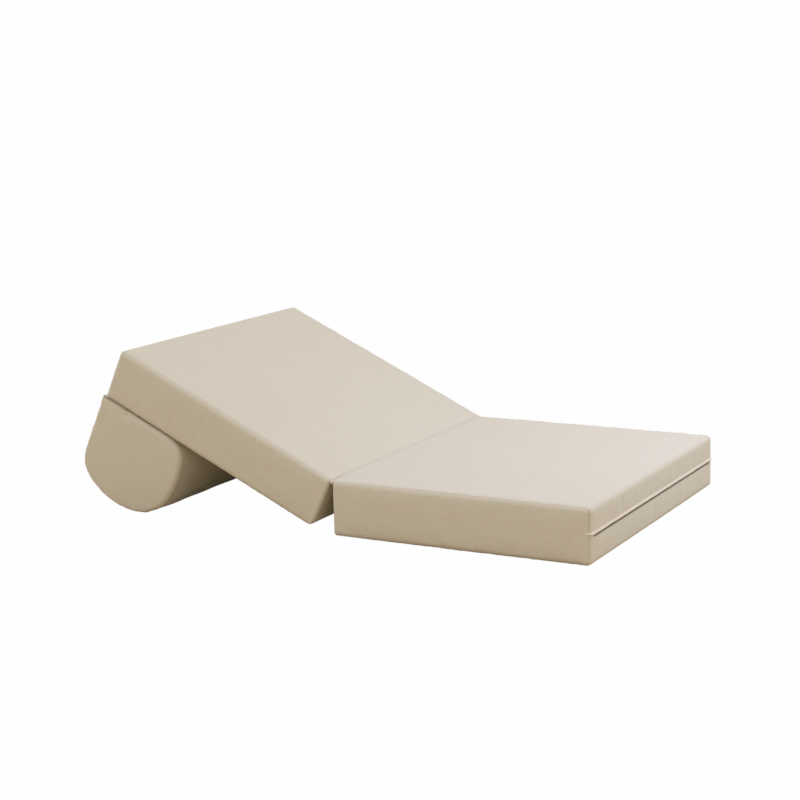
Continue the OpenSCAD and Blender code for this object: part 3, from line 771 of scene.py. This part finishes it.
def bolster_strap():
    """The web between back and bolster: out along the underside of the back, round the head
    edge in a fold, and home along the bolster's flat side."""
    x0, x1, mid = BODY_L - 0.100, BODY_L + 0.0055, -0.0024
    path = smooth_path([(x0, -0.0010), (x0 + 0.03, -0.0010), (x0 + 0.07, -0.0010),
                        (x1, -0.0008), (x1 + 0.0026, -0.0013), (x1 + 0.0034, mid),
                        (x1 + 0.0026, -0.0037), (x1, -0.0042), (x0 + 0.07, -0.0042),
                        (x0 + 0.03, -0.0042), (x0, -0.0042)], 90)

    def places(x, z, y):
        """A point of the back section, in the row frame."""
        return back_place(np.stack([x, y, z], -1))

    def hem(x, z, y):
        """Near both ends the upper layer follows the section's rounded corner up and the lower
        one the bolster's rim down, each by the sagitta of its circle; the fold itself waves."""
        out = np.clip(np.abs(y) - (WIDTH / 2 - EDGE_R), 0, EDGE_R)
        rise = (EDGE_R - np.sqrt(EDGE_R ** 2 - out ** 2)) * 0.7
        out = np.clip(np.abs(y) - (WIDTH / 2 - BOLSTER_RIM), 0, BOLSTER_RIM)
        fall = (BOLSTER_RIM - np.sqrt(BOLSTER_RIM ** 2 - out ** 2)) * 0.9
        share = np.clip((BODY_L + 0.006 - x) / 0.035, 0.2, 1)
        rise, fall = rise * share, fall * share
        up = np.clip((z - mid) / 0.0012, -1, 1)
        wave = 0.0004 * ripple(x, y, 71, [.05, .08, .12, .035]) * (np.abs(up) < 1)
        return wave, np.where(up > 0, rise * up, fall * up)

    points, faces, uv = ribbon(path, WIDTH / 2 - 0.006, hem, 0.012, places, 0.0009)
    piece = make("bolster_strap", points, faces, hinge_cloth, uv)
    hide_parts("bolster_leaf_back", "bolster_leaf_bolster", "bolster_seam_bead")
    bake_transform(piece)
    return piece


crease_fabric()
bolster_strap()

# ---- zips ----

STITCH_PITCH, STITCH_LONG, STITCH_END = 0.0042, 0.0030, 0.575
TEETH_PITCH, TEETH_DEEP, TEETH_OFF = 0.0024, -0.0024, 0.00168


def zip_places(kind):
    """Puts zip points (out from the face, y, across) into the row frame for one panel."""
    def put(out, y, across):
        """One panel's zip point in the row frame."""
        if kind == "seat":
            return seat_place(np.stack([BODY_L + out, y, THICK / 2 + across], -1))
        if kind == "back":
            return back_place(np.stack([BODY_L + out, y, THICK / 2 + across], -1))
        return bolster_place(-out, ZIP_V - across, y)
    return put


def zip_lip(kind, seed):
    """The fold of cover that hangs over the zip: a flattened loop carried along the slot's
    upper side, round both corners, where it narrows to nothing. Its edge wanders by a
    millimetre, because it is only sewn down along its top."""
    put = zip_places(kind)
    loop = np.array([[-0.0008, 0.0150], [0.0006, 0.0152], [0.0016, 0.0136], [0.0023, 0.0112],
                     [0.0028, 0.0086], [0.0030, 0.0066], [0.0028, 0.0050], [0.0021, 0.0040],
                     [0.0012, 0.0038], [0.0006, 0.0046], [0.0003, 0.0066], [-0.0003, 0.0100],
                     [-0.0010, 0.0130]])
    turn_r = BOLSTER_RIM if kind == "bolster" else EDGE_R
    straight = WIDTH / 2 - turn_r
    quarter = turn_r * math.pi / 2
    last = straight + quarter + 0.009
    s = spaced(-last, last, 0.006, 0.06, 0.002)[:, None]
    past = np.abs(s) - straight
    turn = np.clip(past, 0, quarter) / turn_r
    on = np.maximum(past - quarter, 0)
    base_out = -turn_r * (1 - np.cos(turn)) - on
    base_y = np.sign(s) * (np.minimum(np.abs(s), straight) + turn_r * np.sin(turn))
    way_out, way_y = np.cos(turn), np.sign(s) * np.sin(turn)
    end = np.clip((last - np.abs(s)) / (last - straight + 0.004), 0, 1)
    full = np.maximum(end, 0.03) ** 0.9
    wander = ripple(s, 0 * s, seed, [.31, .17, .093, .061], 0.0, STRAIGHT)
    edge = 0.0004 * np.maximum(1 + wander, 0)
    lift = 0.0003 * ripple(s, 0 * s, seed + 1, [.21, .12, .07, .045], 0.0, STRAIGHT)
    low = np.clip((0.015 - loop[None, :, 1]) / 0.012, 0, 1)
    across = 0.0145 + (loop[None, :, 1] + edge * low - 0.0145) * (0.3 + 0.7 * full)
    out = np.where(loop[None, :, 0] > 0, (loop[None, :, 0] + lift * low) * full,
                   loop[None, :, 0])
    rings = put(base_out + way_out * out, base_y + way_y * out, across)
    points, faces = swept(rings)
    length = np.concatenate([[0], np.cumsum(np.linalg.norm(np.diff(loop, axis=0), axis=1))])
    uv = np.stack([np.repeat(s, len(loop), 1), np.repeat(length[None], len(s), 0)], -1)
    uv = np.concatenate([uv.reshape(-1, 2), [[-last, 0], [last, 0]]])
    # its cloth is lighter than the cover's: a painted highlight along the fold
    piece = make(f"{kind}_zip_lip", points, outward(points, faces), lip_cloth, uv)
    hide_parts(f"{kind}_zip_flap")
    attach(piece, kind)
    stitches(f"{kind}_zip_stitches", put, kind,
             np.arange(-STITCH_END, STITCH_END + 0.0001, STITCH_PITCH), 0.00175, 0.0122,
             STITCH_LONG)


def tiled(shape_points, shape_faces, moves):
    """One small shape repeated: its points shifted by each row of moves."""
    n, m = len(moves), len(shape_points)
    points = (shape_points[None] + moves[:, None]).reshape(-1, 3)
    step = np.arange(n)[:, None, None] * m
    return points, [(f[None] + step).reshape(-1, f.shape[1]) for f in shape_faces]


def bead(size, waist=0.75):
    """A stitch or tooth: six-sided along its middle axis (y), drawn in at both ends."""
    a = np.linspace(0, 2 * math.pi, 6, endpoint=False) + math.pi / 6
    ring = np.stack([np.cos(a), 0 * a, np.sin(a)], -1)
    rings = np.stack([ring * [waist * k, 1, waist * k] + [0, y, 0]
                      for y, k in ((-1, 0.5), (-0.6, 1 / waist), (0.6, 1 / waist), (1, 0.5))])
    points, faces = swept(rings * np.array(size) / 2)
    return points, outward(points, faces)


def stitches(name, put, body, ys, out, across, length):
    """A row of stitches: thread beads, one for each y, lying half in the cloth."""
    shape, faces = bead((0.0007, length, 0.0008))
    moves = np.stack([np.full(len(ys), out), ys, np.full(len(ys), across)], -1)
    points, faces = tiled(shape, faces, moves)
    points = put(points[:, 0], points[:, 1], points[:, 2])
    piece = make(name, points, outward(points, faces), thread_mat)
    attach(piece, body)


def zip_teeth(kind):
    """Coil teeth in two rows along the slot's middle, with room for the slider's divider:
    beads across the zip at 2.4 mm, the second row half a pitch on."""
    put = zip_places(kind)
    shape, faces = bead((0.0017, 0.0018, 0.0013))
    shape = shape[:, [0, 2, 1]]                     # its long way across the zip
    ys = np.arange(-ZIP_L / 2 + 0.010, ZIP_L / 2 - 0.008, TEETH_PITCH)
    upper = np.stack([np.full(len(ys), TEETH_DEEP), ys, np.full(len(ys), TEETH_OFF)], -1)
    lower = upper * [1, 1, -1] + [0, TEETH_PITCH / 2, 0]
    points, faces = tiled(shape, faces, np.concatenate([upper, lower]))
    points = put(points[:, 0], points[:, 1], points[:, 2])
    piece = make(f"{kind}_zip_coil", points, outward(points, faces), teeth_mat)
    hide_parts(f"{kind}_zip_teeth")
    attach(piece, kind)


for kind, seed in (("seat", 81), ("back", 84), ("bolster", 87)):
    zip_lip(kind, seed)
    zip_teeth(kind)

# ---- carried-over nodes ----

for name, node in frame["nodes"].items():
    words = name.split("_")
    finish = (foam_mat if "foam" in words else fibre_mat if "wadding" in words else
              tape_mat if "tape" in words else teeth_mat if "teeth" in words else
              metal_mat if set(words) & {"stops", "slider", "pull"} else thread_mat)
    node.data.materials.clear()
    node.data.materials.append(finish)

# ---- studio ----

def stage_plane(name, z, half, colour, strength):
    """A wide level square; it only shines if strength is above nothing."""
    grid = np.array([[-half, -half, z], [half, -half, z], [half, half, z], [-half, half, z]])
    m, nodes, links, bsdf = shader(name, colour, 1.0)
    if strength:
        bsdf.inputs["Base Color"].default_value = (0, 0, 0, 1)
        bsdf.inputs["Specular IOR Level"].default_value = 0
        bsdf.inputs["Emission Color"].default_value = (*colour, 1)
        bsdf.inputs["Emission Strength"].default_value = strength
    plane = make(name, grid, [np.array([[0, 1, 2, 3]])], m, smooth=False)
    return plane


seen = stage_plane("studio_floor", -0.004, 200, (0.99, 0.99, 0.99), 1.0)
seen.visible_diffuse = seen.visible_glossy = seen.visible_shadow = False
seen.visible_transmission = False
bounce = stage_plane("floor_bounce", -0.002, 6, (0.52, 0.42, 0.27), 0)
bounce.visible_camera = False

# Light from the room, by direction: [red, green, blue] of an even part, and of parts that grow
# towards overhead and towards the side that the near long edge faces.
ROOM = {"even": (0.762, 0.752, 0.478), "over": (0.215, 0.190, 0.665),
        "near": (0.140, 0.090, 0.280)}


def room_light():
    """World colour = even + over * max(z, 0) + near * max(-y, 0); the backdrop itself is
    plain white."""
    world = bpy.data.worlds.new("studio")
    bpy.context.scene.world = world
    world.use_nodes = True
    nodes, links = world.node_tree.nodes, world.node_tree.links
    split = nodes.new("ShaderNodeSeparateXYZ")
    links.new(nodes.new("ShaderNodeTexCoord").outputs["Generated"], split.inputs[0])
    total = None
    for k, sign, part in ((2, 1, "over"), (1, -1, "near")):
        share = calc(nodes, links, "MAXIMUM",
                     calc(nodes, links, "MULTIPLY", split.outputs[k], sign), 0)
        n = nodes.new("ShaderNodeVectorMath")
        n.operation = "MULTIPLY_ADD"
        links.new(share, n.inputs[0])
        n.inputs[1].default_value = ROOM[part]
        if total is None:
            n.inputs[2].default_value = ROOM["even"]
        else:
            links.new(total, n.inputs[2])
        total = n.outputs[0]
    lit, plain = nodes["Background"], nodes.new("ShaderNodeBackground")
    links.new(total, lit.inputs["Color"])
    plain.inputs["Color"].default_value = (0.99, 0.99, 0.99, 1)
    mix = nodes.new("ShaderNodeMixShader")
    links.new(nodes.new("ShaderNodeLightPath").outputs["Is Camera Ray"], mix.inputs[0])
    links.new(lit.outputs[0], mix.inputs[1])
    links.new(plain.outputs[0], mix.inputs[2])
    links.new(mix.outputs[0], nodes["World Output"].inputs["Surface"])


room_light()


def soft_light(name, place, aim, size, power, colour):
    """A square area light at place, facing aim."""
    lamp = bpy.data.lights.new(name, "AREA")
    lamp.size, lamp.energy, lamp.color = size, power, colour
    o = bpy.data.objects.new(name, lamp)
    o.location = place
    way = np.array(aim, float) - np.array(place, float)
    o.rotation_euler = Vector(way).to_track_quat("-Z", "Y").to_euler()
    bpy.context.scene.collection.objects.link(o)
    return o


FOOT_POWER = (16.2, 17.9, 30.0)         # watts of red, green and blue
power = max(FOOT_POWER)
soft_light("foot_light", (1.9, 0.5, 2.1), (0.85, 0.1, 0.15), 1.2, power,
           tuple(c / power for c in FOOT_POWER))

view = bpy.context.scene.view_settings
view.view_transform = "Standard"
view.look = "None"
view.exposure = 0
view.gamma = 1

# camera: where it stands, which way it faces, and its turn about the line of sight
CAM_AT = (3.1440 + fold[0], -5.8186, 1.6722)
YAW, PITCH, ROLL = 2.0724081, 0.1935009, -0.0258444
SENSOR = 36
FOCAL = 1801.73 / 800 * SENSOR          # 2.25 sensor widths


def add_camera():
    """Camera axes: forward from yaw and pitch, then right and up turned by the roll."""
    f = np.array([math.cos(YAW) * math.cos(PITCH), math.sin(YAW) * math.cos(PITCH),
                  -math.sin(PITCH)])
    r = np.array([math.sin(YAW), -math.cos(YAW), 0])
    u = np.cross(r, f)
    c, s = math.cos(ROLL), math.sin(ROLL)
    r, u = r * c + u * s, -r * s + u * c
    cam = bpy.data.cameras.new("camera")
    cam.lens, cam.sensor_width = FOCAL, SENSOR
    cam.clip_end = 1000
    o = bpy.data.objects.new("camera", cam)
    o.matrix_world = Matrix([[r[0], u[0], -f[0], CAM_AT[0]], [r[1], u[1], -f[1], CAM_AT[1]],
                             [r[2], u[2], -f[2], CAM_AT[2]], [0, 0, 0, 1]])
    bpy.context.scene.collection.objects.link(o)
    bpy.context.scene.camera = o


add_camera()
